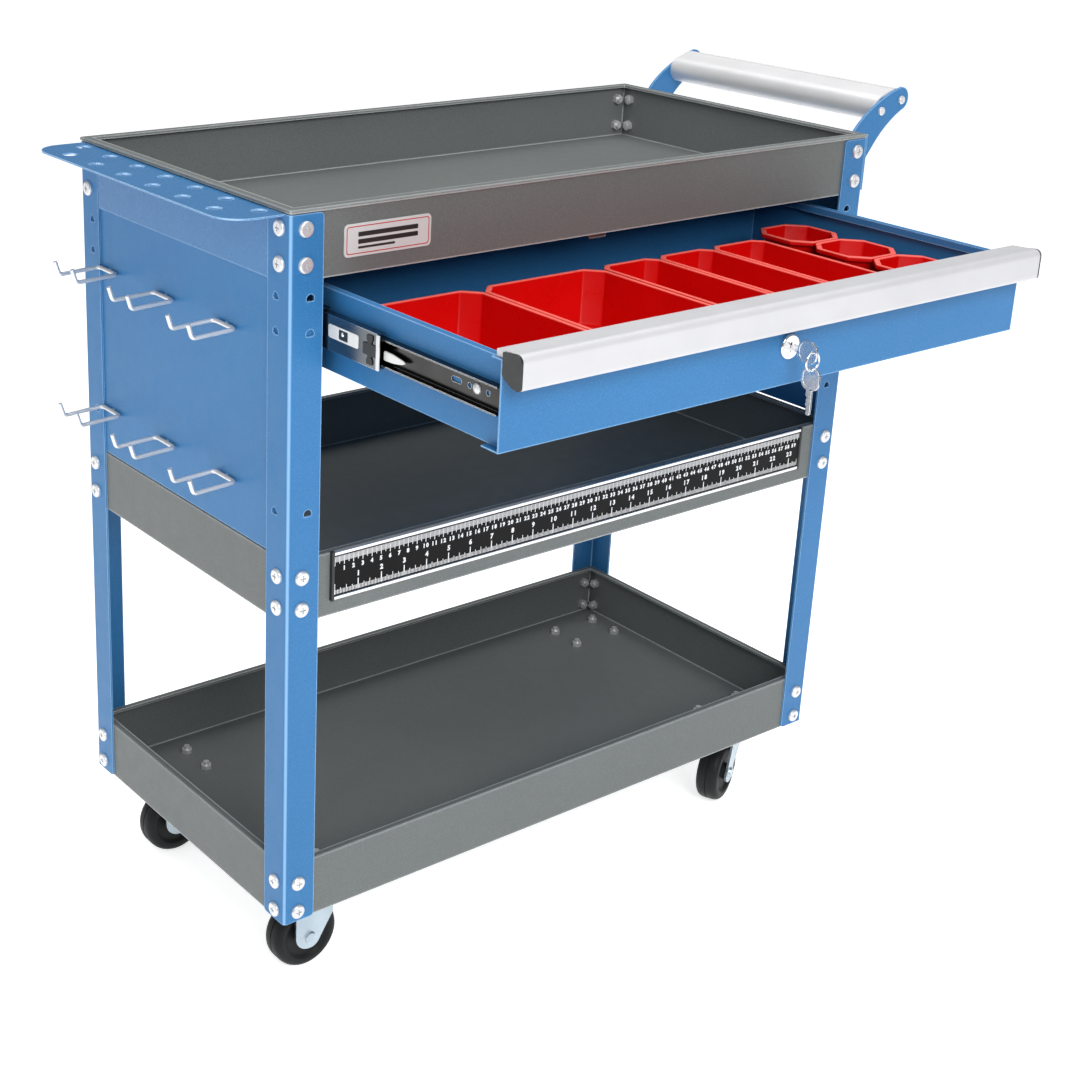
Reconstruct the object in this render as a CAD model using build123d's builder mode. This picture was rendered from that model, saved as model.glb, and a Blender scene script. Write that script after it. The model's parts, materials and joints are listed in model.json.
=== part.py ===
"""Three-tray rolling tool chest: one drawer, a screwdriver rack, a hook panel, a push handle and four casters.

Frame: +Z is up with the floor at Z = 0. X runs along the trays from the rack end to the handle end, and the
drawer opens towards -Y. The origin is on the floor under the middle of the overall box, drawer drawn out.
"""

import math
import os

from build123d import *

os.makedirs("parts", exist_ok=True)

# Overall frame: outer faces of the four legs, and what reaches past them
LENGTH = 704
DEPTH = 358
RACK_REACH = 54
GRIP_REACH = 89
HEAD_HEIGHT = 3
DRAWER_OUT = 222
BEZEL_HEIGHT = 4
KEY_STANDOFF = 24
KEY_HEAD = 10.5
KEY_REACH = DRAWER_OUT + BEZEL_HEIGHT + KEY_STANDOFF + KEY_HEAD
LEFT = -(LENGTH + GRIP_REACH - RACK_REACH) / 2
RIGHT = LEFT + LENGTH
FRONT = -(DEPTH + HEAD_HEIGHT - KEY_REACH) / 2
BACK = FRONT + DEPTH
MIDDLE_X = (LEFT + RIGHT) / 2

# Legs: folded angle, two flanges
FLANGE = 33
LEG_SHEET = 2
LEG_BEND = 4
LEG_BOTTOM = 92
LEG_TOP = 758
BOLT_INSET = 15
BOLT_LEVELS = (102.5, 132.5, 408.5, 438.5, 715.5, 745.5)
D_HOLE_INSET = 20.5
D_HOLE_LEVELS = (496.5, 656.5, 686.5)
D_HOLE_RADIUS = 4

# Trays: folded sheet pans with a hemmed rim
TRAY_SHEET = 1.5
TRAY_HEIGHT = 60
TRAY_CORNER = 3
RIM_WIDTH = 7
RIM_THICKNESS = 3
TRAY_BOTTOMS = {"bottom_tray": 92, "middle_tray": 394.5, "top_tray": 702}
TOP_RIM = TRAY_BOTTOMS["top_tray"] + TRAY_HEIGHT

# End panels and rack
PANEL_SHEET = 1.2
PANEL_BOTTOM = 456
RACK_SHEET = 1.5
RACK_END_GAP = 8
RACK_CORNER = 27
RACK_SKIRT_BOTTOM = 700
RACK_HOLE_RADIUS = 6.5
RACK_HOLE_PITCH = 50

# Bolts through the legs
BOLT_RADIUS = 3
BOLT_LENGTH = 11
BOLT_CLEARANCE = 0.25
HEAD_RADIUS = 7
NUT_FLATS = 10
NUT_THICKNESS = 4.5

# Drawer, drawn out by DRAWER_OUT from the closed position
DRAWER_DEPTH = 322
DRAWER_SHEET = 1.2
DRAWER_SIDE = 46
DRAWER_BOTTOM = 619
DRAWER_TOP = 690
FRONT_OVERHANG = 7
FRONT_BOTTOM = 617.5
FRONT_TOP = 691.5
DRAWER_FACE = FRONT - DRAWER_OUT

# Slides: three members, one inside the other
SLIDE_Z = 657.5
SLIDE_LENGTH = 300
SLIDE_SHEET = 1.2
SLIDE_WEB = DRAWER_SIDE - 12.7
INTERMEDIATE_START = FRONT - 72

# Pull along the top of the drawer front
PULL_REACH = 21.5
PULL_TOP = 699
PULL_LIP = 671.5
PULL_WALL = 2
CAP_WIDTH = 2

# Lock and keys
LOCK_Z = 652
LOCK_BEZEL = 11
PLUG_RADIUS = 6
HINGE_GAP = 0.05
KEY_SHEET = 2
KEY_BLADE = (22, 6.4)
KEY_HOLE = 2.6
KEY_HOLE_FROM_HEAD = 16
CATCH_DEPTH = 16
CATCH_BOTTOM = 694
CATCH_HALF_WIDTH = 10
CAM_REACH = 46
KEY_RING_RADIUS = 7.8
KEY_RING_WIRE = 0.9

# Bins in the drawer
BIN_RIM = 672
BIN_WALL = 1.6
BIN_BACK = FRONT
BIN_LENGTH = 190
BIN_FLOOR = DRAWER_BOTTOM + DRAWER_SHEET + 0.3

# Handle
ARM_SHEET = 2.5
ARM_INSETS = {"front": 24.5, "back": 30.5}
GRIP_LONG = 46
GRIP_SHORT = 28
GRIP_WALL = 2
GRIP_BOSS = 5.6
GRIP_CENTRE = (62, 782.5)
GRIP_TILT = 17
GRIP_SCREW_HALF_SPACING = 16

# Ruler and name plate on the front walls
RULER_START = 46
RULER_LENGTH = 605
RULER_BOTTOM = 409.5
RULER_TOP = 455
RULER_CAP = 3
PLATE_CENTRE = (99, 730)
PLATE_SIZE = (90, 28)

# Wire hooks on the panel
HOOK_WIRE = 2
HOOK_REACH = 42
HOOK_SPREAD = 34
HOOK_COLUMNS = (100, 204, 308)
HOOK_LEVELS = (503, 643)

# Casters
WHEEL_RADIUS = 35
WHEEL_WIDTH = 25
HUB_HALF = 13.5
AXLE_RADIUS = 4
FORK_GAP = 14.3
FORK_SHEET = 2.5
CASTER_X = 57
CASTER_Y = 56
CASTER_PLATE = (82, 60)
CASTER_SHEET = 2.5
CASTER_BOLT_SPACING = (62, 40)
CASTER_TOP = TRAY_BOTTOMS["bottom_tray"]
TRAIL = 29
PIN_RADIUS = 4.5
SWIVEL_ANGLES = {"front": 203, "back": 158}

CORNERS = {
    "front_left": (LEFT, FRONT, 1, 1),
    "front_right": (RIGHT, FRONT, -1, 1),
    "back_left": (LEFT, BACK, 1, -1),
    "back_right": (RIGHT, BACK, -1, -1),
}
ROTATIONS = {"x": (0, 90, 0), "y": (90, 0, 0), "z": (0, 0, 0)}


def block(x_range, y_range, z_range, mode=Mode.ADD):
    """Box between three pairs of coordinates, given in either order."""
    centre = [(a + b) / 2 for a, b in (x_range, y_range, z_range)]
    size = [abs(b - a) for a, b in (x_range, y_range, z_range)]
    with Locations(tuple(centre)):
        Box(*size, mode=mode)


def rod(centre, radius, length, axis, mode=Mode.ADD):
    """Cylinder centred on a point, along a named axis."""
    with Locations(centre):
        Cylinder(radius, length, rotation=ROTATIONS[axis], mode=mode)


def finish(piece, name):
    """Labels a finished piece and writes its STEP file."""
    piece.part.label = name
    export_step(piece.part, f"parts/{name}.step")


def leg_bolt_seats():
    """Yields origin and outward normal of every bolt through a leg flange, on the leg's outer face."""
    for x0, y0, sx, sy in CORNERS.values():
        for z in BOLT_LEVELS:
            yield (x0 + sx * BOLT_INSET, y0, z), (0, -sy, 0)
            yield (x0, y0 + sy * BOLT_INSET, z), (-sx, 0, 0)


def shifted(point, direction, distance):
    """Point moved along a direction."""
    return tuple(p + d * distance for p, d in zip(point, direction))


def seat_location(origin, normal):
    """Location whose local Z is the outward normal."""
    up = (0, 0, 1) if normal[2] == 0 else (1, 0, 0)
    return Plane(origin=origin, x_dir=up, z_dir=normal).location


# ---------------------------------------------------------------- legs


def d_hole(origin, normal):
    """Punched hole with one flat side, through a flange."""
    with BuildSketch(Plane(origin=origin, x_dir=(0, 0, 1), z_dir=normal)) as hole:
        Circle(D_HOLE_RADIUS)
        with Locations((-D_HOLE_RADIUS, 0)):
            Rectangle(D_HOLE_RADIUS, 3 * D_HOLE_RADIUS, mode=Mode.SUBTRACT)
    extrude(hole.sketch, amount=2 * LEG_SHEET, both=True, mode=Mode.SUBTRACT)


for corner, (x0, y0, sx, sy) in CORNERS.items():
    edge_x = x0 + sx * FLANGE
    edge_y = y0 + sy * FLANGE
    with BuildPart() as leg:
        block((x0, edge_x), (y0, edge_y), (LEG_BOTTOM, LEG_TOP))
        block(
            (x0 + sx * LEG_SHEET, edge_x + sx),
            (y0 + sy * LEG_SHEET, edge_y + sy),
            (LEG_BOTTOM, LEG_TOP),
            mode=Mode.SUBTRACT,
        )
        uprights = leg.edges().filter_by(Axis.Z)
        middle_z = (LEG_BOTTOM + LEG_TOP) / 2
        fillet(uprights.sort_by_distance((x0, y0, middle_z))[0], LEG_BEND)
        uprights = leg.edges().filter_by(Axis.Z)
        inner = (x0 + sx * LEG_SHEET, y0 + sy * LEG_SHEET, middle_z)
        fillet(uprights.sort_by_distance(inner)[0], LEG_BEND - LEG_SHEET)
        free = leg.edges().filter_by(Axis.Y).filter_by(lambda e, x=edge_x: abs(e.center().X - x) < 0.1)
        free += leg.edges().filter_by(Axis.X).filter_by(lambda e, y=edge_y: abs(e.center().Y - y) < 0.1)
        fillet(free, LEG_BEND)
        for z in BOLT_LEVELS:
            rod((x0 + sx * BOLT_INSET, y0, z), BOLT_RADIUS + BOLT_CLEARANCE, 6, "y", mode=Mode.SUBTRACT)
            rod((x0, y0 + sy * BOLT_INSET, z), BOLT_RADIUS + BOLT_CLEARANCE, 6, "x", mode=Mode.SUBTRACT)
        for z in D_HOLE_LEVELS:
            d_hole((x0 + sx * D_HOLE_INSET, y0, z), (0, -1, 0))
            d_hole((x0, y0 + sy * D_HOLE_INSET, z), (1, 0, 0))
    finish(leg, f"leg_{corner}")

# ---------------------------------------------------------------- trays


def caster_centres():
    """Yields name, x, y of the middle of each caster plate."""
    for corner, (x0, y0, sx, sy) in CORNERS.items():
        yield corner, x0 + sx * CASTER_X, y0 + sy * CASTER_Y


def caster_bolt_points():
    """Yields x, y of every caster bolt."""
    for _, x, y in caster_centres():
        for dx in (-1, 1):
            for dy in (-1, 1):
                yield x + dx * CASTER_BOLT_SPACING[0] / 2, y + dy * CASTER_BOLT_SPACING[1] / 2


def make_tray(name, bottom):
    """Folded pan with a hemmed rim. The top tray's hem also covers the ends of the legs."""
    top = bottom + TRAY_HEIGHT
    on_legs = top > LEG_TOP
    outer_x = (LEFT + LEG_SHEET, RIGHT - LEG_SHEET)
    outer_y = (FRONT + LEG_SHEET, BACK - LEG_SHEET)
    rim_out = LEG_SHEET if on_legs else 0
    with BuildPart() as tray:
        block(outer_x, outer_y, (bottom, top))
        fillet(tray.edges().filter_by(Axis.Z), TRAY_CORNER)
        if rim_out:
            block(
                (outer_x[0] - rim_out, outer_x[1] + rim_out),
                (outer_y[0] - rim_out, outer_y[1] + rim_out),
                (top - RIM_THICKNESS, top),
            )
        fillet(tray.faces().sort_by(Axis.Z)[-1].edges(), 1.2)
        block(
            (outer_x[0] + TRAY_SHEET, outer_x[1] - TRAY_SHEET),
            (outer_y[0] + TRAY_SHEET, outer_y[1] - TRAY_SHEET),
            (bottom + TRAY_SHEET, top - RIM_THICKNESS),
            mode=Mode.SUBTRACT,
        )
        block(
            (outer_x[0] + RIM_WIDTH, outer_x[1] - RIM_WIDTH),
            (outer_y[0] + RIM_WIDTH, outer_y[1] - RIM_WIDTH),
            (top - RIM_THICKNESS - 1, top + 1),
            mode=Mode.SUBTRACT,
        )
        for origin, normal in leg_bolt_seats():
            if bottom < origin[2] < top:
                with Locations(seat_location(origin, normal)):
                    Cylinder(BOLT_RADIUS + BOLT_CLEARANCE, 10, mode=Mode.SUBTRACT)
        if on_legs:
            block(
                (MIDDLE_X - CATCH_HALF_WIDTH, MIDDLE_X + CATCH_HALF_WIDTH),
                (FRONT + CATCH_DEPTH, FRONT + CATCH_DEPTH + TRAY_SHEET),
                (CATCH_BOTTOM, bottom + TRAY_SHEET),
            )
        if bottom == CASTER_TOP:
            for x, y in caster_bolt_points():
                rod((x, y, bottom), BOLT_RADIUS + BOLT_CLEARANCE, 6, "z", mode=Mode.SUBTRACT)
    finish(tray, name)


for tray_name, tray_bottom in TRAY_BOTTOMS.items():
    make_tray(tray_name, tray_bottom)

# ---------------------------------------------------------------- end panels, rack and hooks

between_legs = (FRONT + LEG_BEND + 0.2, BACK - LEG_BEND - 0.2)
panel_z = (PANEL_BOTTOM, TRAY_BOTTOMS["top_tray"] - 0.2)


def hook_corners(column, level):
    """Path of one double hook: upturned tip, prong, back bar on the panel, prong, upturned tip."""
    back_x = LEFT + LEG_SHEET - HOOK_WIRE - 0.3
    tip_x = back_x - HOOK_REACH
    near = FRONT + column - HOOK_SPREAD / 2
    far = near + HOOK_SPREAD
    tip_z = level + 11
    return [
        (tip_x - 4, near, tip_z),
        (tip_x, near, level - 2),
        (back_x, near, level),
        (back_x, far, level),
        (tip_x, far, level - 2),
        (tip_x - 4, far, tip_z),
    ]


with BuildPart() as hook_panel:
    block((LEFT + LEG_SHEET, LEFT + LEG_SHEET + PANEL_SHEET), between_legs, panel_z)
    for level in HOOK_LEVELS:
        for column in HOOK_COLUMNS:
            rod((LEFT + LEG_SHEET, FRONT + column, level), HOOK_WIRE + 0.1, 6, "x", mode=Mode.SUBTRACT)
finish(hook_panel, "hook_panel")

with BuildPart() as right_side_panel:
    block((RIGHT - LEG_SHEET - PANEL_SHEET, RIGHT - LEG_SHEET), between_legs, panel_z)
finish(right_side_panel, "right_side_panel")

with BuildPart() as tool_hooks:
    for level in HOOK_LEVELS:
        for column in HOOK_COLUMNS:
            corners = hook_corners(column, level)
            with BuildLine() as path:
                FilletPolyline(*corners, radius=4.5)
            with BuildSketch(Plane(origin=path.line @ 0, z_dir=path.line % 0)):
                Circle(HOOK_WIRE)
            sweep(path=path.line)
            pin_x = LEFT + LEG_SHEET + PANEL_SHEET / 2 - 1.5
            rod((pin_x, FRONT + column, level), HOOK_WIRE - 0.2, 5, "x")
finish(tool_hooks, "tool_hooks")

with BuildPart() as screwdriver_rack:
    with BuildSketch(Plane.XY.offset(LEG_TOP - RACK_SHEET)):
        with BuildLine():
            outer_edge = LEFT - RACK_REACH
            near = FRONT + RACK_END_GAP
            far = BACK - RACK_END_GAP
            Polyline(
                (LEFT - 0.2, near),
                (outer_edge, near),
                (outer_edge, far),
                (LEFT - 0.2, far),
                close=True,
            )
        make_face()
    extrude(amount=RACK_SHEET)
    outer_corners = screwdriver_rack.edges().filter_by(Axis.Z).group_by(Axis.X)[0]
    fillet(outer_corners, RACK_CORNER)
    tongue_y = (FRONT + FLANGE + 0.5, BACK - FLANGE - 0.5)
    tongue_x = (LEFT - 0.2, LEFT + LEG_SHEET)
    block(tongue_x, tongue_y, (LEG_TOP - RACK_SHEET, LEG_TOP))
    skirt_x = (LEFT + LEG_SHEET - RACK_SHEET, LEFT + LEG_SHEET)
    block(skirt_x, tongue_y, (RACK_SKIRT_BOTTOM, LEG_TOP))
    middle_y = (FRONT + BACK) / 2
    for row_x, count in ((LEFT - 11, 7), (LEFT - 38, 6)):
        for i in range(count):
            hole_y = middle_y + (i - (count - 1) / 2) * RACK_HOLE_PITCH
            rod((row_x, hole_y, LEG_TOP), RACK_HOLE_RADIUS, 6, "z", mode=Mode.SUBTRACT)
finish(screwdriver_rack, "screwdriver_rack")

# ---------------------------------------------------------------- fasteners through the legs

with BuildPart() as pan_bolt:
    Cylinder(HEAD_RADIUS, HEAD_HEIGHT, align=(Align.CENTER, Align.CENTER, Align.MIN))
    fillet(pan_bolt.edges().sort_by(Axis.Z)[-1], HEAD_HEIGHT * 0.7)
    Cylinder(BOLT_RADIUS, BOLT_LENGTH, align=(Align.CENTER, Align.CENTER, Align.MAX))
    with Locations((0, 0, HEAD_HEIGHT)):
        Box(6, 1.4, 3, mode=Mode.SUBTRACT)
        Box(1.4, 6, 3, mode=Mode.SUBTRACT)

with BuildPart() as hex_nut:
    with BuildSketch():
        RegularPolygon(NUT_FLATS / math.sqrt(3), 6)
        Circle(BOLT_RADIUS + 0.1, mode=Mode.SUBTRACT)
    extrude(amount=NUT_THICKNESS)


def holds_handle(origin, normal):
    """True for the bolts that also clamp a handle arm's foot."""
    return normal[0] > 0 and origin[2] > TRAY_BOTTOMS["top_tray"]


bolt_places = []
nut_places = []
for origin, normal in leg_bolt_seats():
    lift = ARM_SHEET if holds_handle(origin, normal) else 0
    bolt_places.append(seat_location(shifted(origin, normal, lift), normal))
    nut_depth = LEG_SHEET + TRAY_SHEET + NUT_THICKNESS
    nut_places.append(seat_location(shifted(origin, normal, -nut_depth), normal))

with BuildPart() as leg_bolts:
    with Locations(*bolt_places):
        add(pan_bolt.part)
finish(leg_bolts, "leg_bolts")

with BuildPart() as leg_nuts:
    with Locations(*nut_places):
        add(hex_nut.part)
finish(leg_nuts, "leg_nuts")

# ---------------------------------------------------------------- handle


def arm_outline():
    """Side profile of a handle arm, as x outward from the leg and z."""
    upper = [(2.5, 752), (10.5, 763), (32.6, 781.2), (62, 796)]
    tip_top = (77, 800.5)
    tip_end = (GRIP_REACH, 788)
    tip_low = (80, 776.5)
    lower = [(66.8, 768.5), (46, 750), (31.7, 731.7), (2.5, 704)]
    Polyline((2.5, 704), (2.5, 752))
    Spline(*upper, tip_top)
    ThreePointArc(tip_top, tip_end, tip_low)
    Spline(tip_low, *lower)


def arm_plane(y):
    """Vertical plane at a depth, with its origin below the right legs."""
    return Plane(origin=(RIGHT, y, 0), x_dir=(1, 0, 0), z_dir=(0, -1, 0))


screw_turn = math.radians(GRIP_TILT)
grip_screw_points = [
    (
        GRIP_CENTRE[0] + side * GRIP_SCREW_HALF_SPACING * math.cos(screw_turn),
        GRIP_CENTRE[1] + side * GRIP_SCREW_HALF_SPACING * math.sin(screw_turn),
    )
    for side in (-1, 1)
]
arm_faces = {
    "front": (FRONT + ARM_INSETS["front"], FRONT + ARM_INSETS["front"] + ARM_SHEET, FRONT + LEG_SHEET),
    "back": (BACK - ARM_INSETS["back"] - ARM_SHEET, BACK - ARM_INSETS["back"], BACK - LEG_SHEET),
}
for side, (near_y, far_y, foot_end) in arm_faces.items():
    with BuildPart() as arm:
        with BuildSketch(arm_plane(far_y)):
            with BuildLine():
                arm_outline()
            make_face()
            with Locations(*grip_screw_points):
                Circle(2.2, mode=Mode.SUBTRACT)
        extrude(amount=ARM_SHEET)
        foot_start = far_y if side == "front" else near_y
        block((RIGHT, RIGHT + ARM_SHEET), (foot_end, foot_start), (704, LEG_TOP - 0.5))
        for z in BOLT_LEVELS[-2:]:
            inset = BOLT_INSET if side == "front" else DEPTH - BOLT_INSET
            rod((RIGHT, FRONT + inset, z), BOLT_RADIUS + BOLT_CLEARANCE, 10, "x", mode=Mode.SUBTRACT)
    finish(arm, f"handle_arm_{side}")

grip_start = arm_faces["front"][1]
grip_end = arm_faces["back"][0]
with BuildPart() as handle_grip:
    with BuildSketch(arm_plane(grip_end)):
        with Locations(GRIP_CENTRE):
            SlotOverall(GRIP_LONG, GRIP_SHORT, rotation=GRIP_TILT)
            SlotOverall(
                GRIP_LONG - 2 * GRIP_WALL, GRIP_SHORT - 2 * GRIP_WALL, rotation=GRIP_TILT, mode=Mode.SUBTRACT
            )
            Rectangle(GRIP_WALL, GRIP_SHORT - GRIP_WALL, rotation=GRIP_TILT)
        with Locations(*grip_screw_points):
            Circle(GRIP_BOSS)
        with Locations(*grip_screw_points):
            Circle(1.8, mode=Mode.SUBTRACT)
    extrude(amount=grip_end - grip_start)
finish(handle_grip, "handle_grip")

with BuildPart() as handle_screws:
    for face_y, outward in ((arm_faces["front"][0], -1), (arm_faces["back"][1], 1)):
        for dx, z in grip_screw_points:
            rod((RIGHT + dx, face_y + outward * 1.25, z), 4.5, 2.5, "y")
            rod((RIGHT + dx, face_y - outward * 8, z), 1.7, 16.1, "y")
    head_rims = handle_screws.edges().filter_by(GeomType.CIRCLE).group_by(Axis.Y)
    fillet(head_rims[0] + head_rims[-1], 1.2)
finish(handle_screws, "handle_screws")

# ---------------------------------------------------------------- ruler and name plate

wall_y = FRONT + LEG_SHEET
ruler_x = (LEFT + RULER_START, LEFT + RULER_START + RULER_LENGTH)
rail_x = (ruler_x[0] + RULER_CAP, ruler_x[1] - RULER_CAP)
with BuildPart() as ruler_rail:
    block(rail_x, (wall_y, wall_y - 2), (RULER_BOTTOM, RULER_TOP))
    for z_range in ((RULER_BOTTOM, RULER_BOTTOM + 3.5), (RULER_TOP - 3.5, RULER_TOP)):
        block(rail_x, (wall_y - 2, wall_y - 3.6), z_range)
    front_edges = ruler_rail.edges().filter_by(Axis.X).group_by(Axis.Y)[0]
    fillet(front_edges, 0.7)
finish(ruler_rail, "ruler_rail")

with BuildPart() as ruler_scale:
    block(rail_x, (wall_y - 2, wall_y - 2.9), (RULER_BOTTOM + 3.6, RULER_TOP - 3.6))
finish(ruler_scale, "ruler_scale")

with BuildPart() as ruler_caps:
    for x_range in ((ruler_x[0], rail_x[0]), (rail_x[1], ruler_x[1])):
        block(x_range, (wall_y, wall_y - 4), (RULER_BOTTOM - 0.6, RULER_TOP + 0.6))
    fillet(ruler_caps.edges().filter_by(Axis.Z).group_by(Axis.Y)[0], 1)
finish(ruler_caps, "ruler_caps")

with BuildPart() as label_plate:
    plate_centre = (LEFT + PLATE_CENTRE[0], wall_y - 0.5, PLATE_CENTRE[1])
    with Locations(plate_centre):
        Box(PLATE_SIZE[0], 1, PLATE_SIZE[1])
    fillet(label_plate.edges().filter_by(Axis.Y), 4)
finish(label_plate, "label_plate")

# ---------------------------------------------------------------- drawer slides


def channel(x_web, x_lip, y_range, half_height):
    """C-shaped rail: a web and two lips reaching from it towards x_lip."""
    web = (x_web, x_web + math.copysign(SLIDE_SHEET, x_lip - x_web))
    block(web, y_range, (SLIDE_Z - half_height, SLIDE_Z + half_height))
    for side in (-1, 1):
        lip = (SLIDE_Z + side * half_height, SLIDE_Z + side * (half_height - SLIDE_SHEET))
        block((x_web, x_lip), y_range, lip)


drawer_front_inside = DRAWER_FACE + 2 * DRAWER_SHEET
for side, x0, sx in (("left", LEFT, 1), ("right", RIGHT, -1)):
    fixed_y = (FRONT + 6, FRONT + 6 + SLIDE_LENGTH)
    with BuildPart() as bracket:
        bracket_x = (x0 + sx * (SLIDE_WEB - 0.1), x0 + sx * (SLIDE_WEB - 0.1 - 1.5))
        bracket_y = (FRONT + LEG_SHEET, BACK - LEG_SHEET)
        block(bracket_x, bracket_y, (SLIDE_Z - 22, SLIDE_Z + 22))
        for tab_y in ((bracket_y[0], bracket_y[0] + 1.5), (bracket_y[1] - 1.5, bracket_y[1])):
            block((bracket_x[0], x0 + sx * 6), tab_y, (SLIDE_Z - 22, SLIDE_Z + 22))
    finish(bracket, f"slide_bracket_{side}")

    with BuildPart() as cabinet_member:
        channel(x0 + sx * (SLIDE_WEB - 0.1), x0 + sx * 44.4, fixed_y, 17.5)
    finish(cabinet_member, f"slide_cabinet_member_{side}")

    with BuildPart() as intermediate:
        middle_y = (INTERMEDIATE_START, INTERMEDIATE_START + SLIDE_LENGTH)
        channel(x0 + sx * 35.8, x0 + sx * 44, middle_y, 15.2)
    finish(intermediate, f"slide_intermediate_{side}")

    with BuildPart() as drawer_member:
        inner_y = (drawer_front_inside + 1.6, drawer_front_inside + 1.6 + SLIDE_LENGTH)
        channel(x0 + sx * DRAWER_SIDE, x0 + sx * 38.6, inner_y, 11.4)
        for hole_y in (inner_y[0] + 17, inner_y[0] + 39):
            rod((x0 + sx * DRAWER_SIDE, hole_y, SLIDE_Z + 1), 2.2, 6, "x", mode=Mode.SUBTRACT)
        slot_plane = Plane(
            origin=(x0 + sx * DRAWER_SIDE, inner_y[0] + 55, SLIDE_Z + 1), x_dir=(0, 1, 0), z_dir=(1, 0, 0)
        )
        with BuildSketch(slot_plane) as slot:
            SlotOverall(12, 4.4)
        extrude(slot.sketch, amount=3, both=True, mode=Mode.SUBTRACT)
    finish(drawer_member, f"slide_drawer_member_{side}")

# ---------------------------------------------------------------- drawer

box_x = (LEFT + DRAWER_SIDE, RIGHT - DRAWER_SIDE)
box_y = (DRAWER_FACE + DRAWER_SHEET, DRAWER_FACE + DRAWER_SHEET + DRAWER_DEPTH)
lock_point = (MIDDLE_X, DRAWER_FACE, LOCK_Z)
with BuildPart() as drawer_box:
    block(box_x, box_y, (DRAWER_BOTTOM, DRAWER_TOP))
    block(
        (box_x[0] + DRAWER_SHEET, box_x[1] - DRAWER_SHEET),
        (box_y[0] + DRAWER_SHEET, box_y[1] - DRAWER_SHEET),
        (DRAWER_BOTTOM + DRAWER_SHEET, DRAWER_TOP + 1),
        mode=Mode.SUBTRACT,
    )
    for inner_x, inward in ((box_x[0], 1), (box_x[1], -1)):
        block((inner_x, inner_x + inward * 7), box_y, (DRAWER_TOP - DRAWER_SHEET, DRAWER_TOP))
        block(
            (inner_x + inward * 5.8, inner_x + inward * 7),
            (box_y[0] + DRAWER_SHEET, box_y[1]),
            (DRAWER_TOP - 7, DRAWER_TOP),
        )
    rod(lock_point, 9.6, 8, "y", mode=Mode.SUBTRACT)
finish(drawer_box, "drawer_box")

front_x = (box_x[0] - FRONT_OVERHANG, box_x[1] + FRONT_OVERHANG)
with BuildPart() as drawer_front:
    block(front_x, (DRAWER_FACE, DRAWER_FACE + DRAWER_SHEET), (FRONT_BOTTOM, FRONT_TOP))
    block(front_x, (DRAWER_FACE, DRAWER_FACE + 20), (FRONT_BOTTOM, FRONT_BOTTOM + DRAWER_SHEET))
    block(front_x, (DRAWER_FACE, DRAWER_FACE + 12), (FRONT_TOP - DRAWER_SHEET, FRONT_TOP))
    rod(lock_point, 9.6, 8, "y", mode=Mode.SUBTRACT)
finish(drawer_front, "drawer_front")


def pull_outline():
    """Outer side profile of the pull, as distance out from the drawer front and z."""
    Polyline((0.1, 681), (0.1, 691.7), (-9, 691.7), (-9, 697.5))
    Line((-9, 697.5), (15, PULL_TOP))
    ThreePointArc((15, PULL_TOP), (19.8, 697.2), (PULL_REACH, 692.5))
    Line((PULL_REACH, 692.5), (PULL_REACH, 675))
    ThreePointArc((PULL_REACH, 675), (20.5, 672.4), (18, PULL_LIP))
    Polyline((18, PULL_LIP), (17, 672.6), (19.3, 675.5))
    Line((19.3, 675.5), (19.3, 692))
    ThreePointArc((19.3, 692), (17.8, 695.3), (14.5, 696.7))
    Polyline((14.5, 696.7), (2.2, 695.4), (2.2, 681), (0.1, 681))


def cap_outline():
    """Filled outline of the pull's end cap."""
    Polyline((0.1, 680), (0.1, 697.2), (15, PULL_TOP))
    ThreePointArc((15, PULL_TOP), (19.8, 697.2), (PULL_REACH, 692.5))
    Line((PULL_REACH, 692.5), (PULL_REACH, 675))
    ThreePointArc((PULL_REACH, 675), (20.5, 672.4), (18, PULL_LIP))
    ThreePointArc((18, PULL_LIP), (7, 674.5), (0.1, 680))


def pull_plane(x):
    """Vertical plane across the drawer front, local x pointing out of the drawer."""
    return Plane(origin=(x, DRAWER_FACE, 0), x_dir=(0, -1, 0), z_dir=(-1, 0, 0))


with BuildPart() as drawer_pull:
    with BuildSketch(pull_plane(front_x[1] - CAP_WIDTH)):
        with BuildLine():
            pull_outline()
        make_face()
    extrude(amount=front_x[1] - front_x[0] - 2 * CAP_WIDTH)
finish(drawer_pull, "drawer_pull")

with BuildPart() as pull_caps:
    for cap_x in (front_x[0] + CAP_WIDTH, front_x[1]):
        with BuildSketch(pull_plane(cap_x)):
            with BuildLine():
                cap_outline()
            make_face()
        extrude(amount=CAP_WIDTH)
finish(pull_caps, "pull_caps")

# ---------------------------------------------------------------- lock and keys

bezel_y = DRAWER_FACE - BEZEL_HEIGHT
barrel_end = DRAWER_FACE + 18
with BuildPart() as lock_housing:
    rod((MIDDLE_X, DRAWER_FACE - BEZEL_HEIGHT / 2, LOCK_Z), LOCK_BEZEL, BEZEL_HEIGHT, "y")
    fillet(lock_housing.edges().group_by(Axis.Y)[0], 1.5)
    rod((MIDDLE_X, DRAWER_FACE + 9, LOCK_Z), 9.4, 18, "y")
    rod((MIDDLE_X, DRAWER_FACE, LOCK_Z), PLUG_RADIUS + HINGE_GAP, 60, "y", mode=Mode.SUBTRACT)
finish(lock_housing, "lock_housing")

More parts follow.
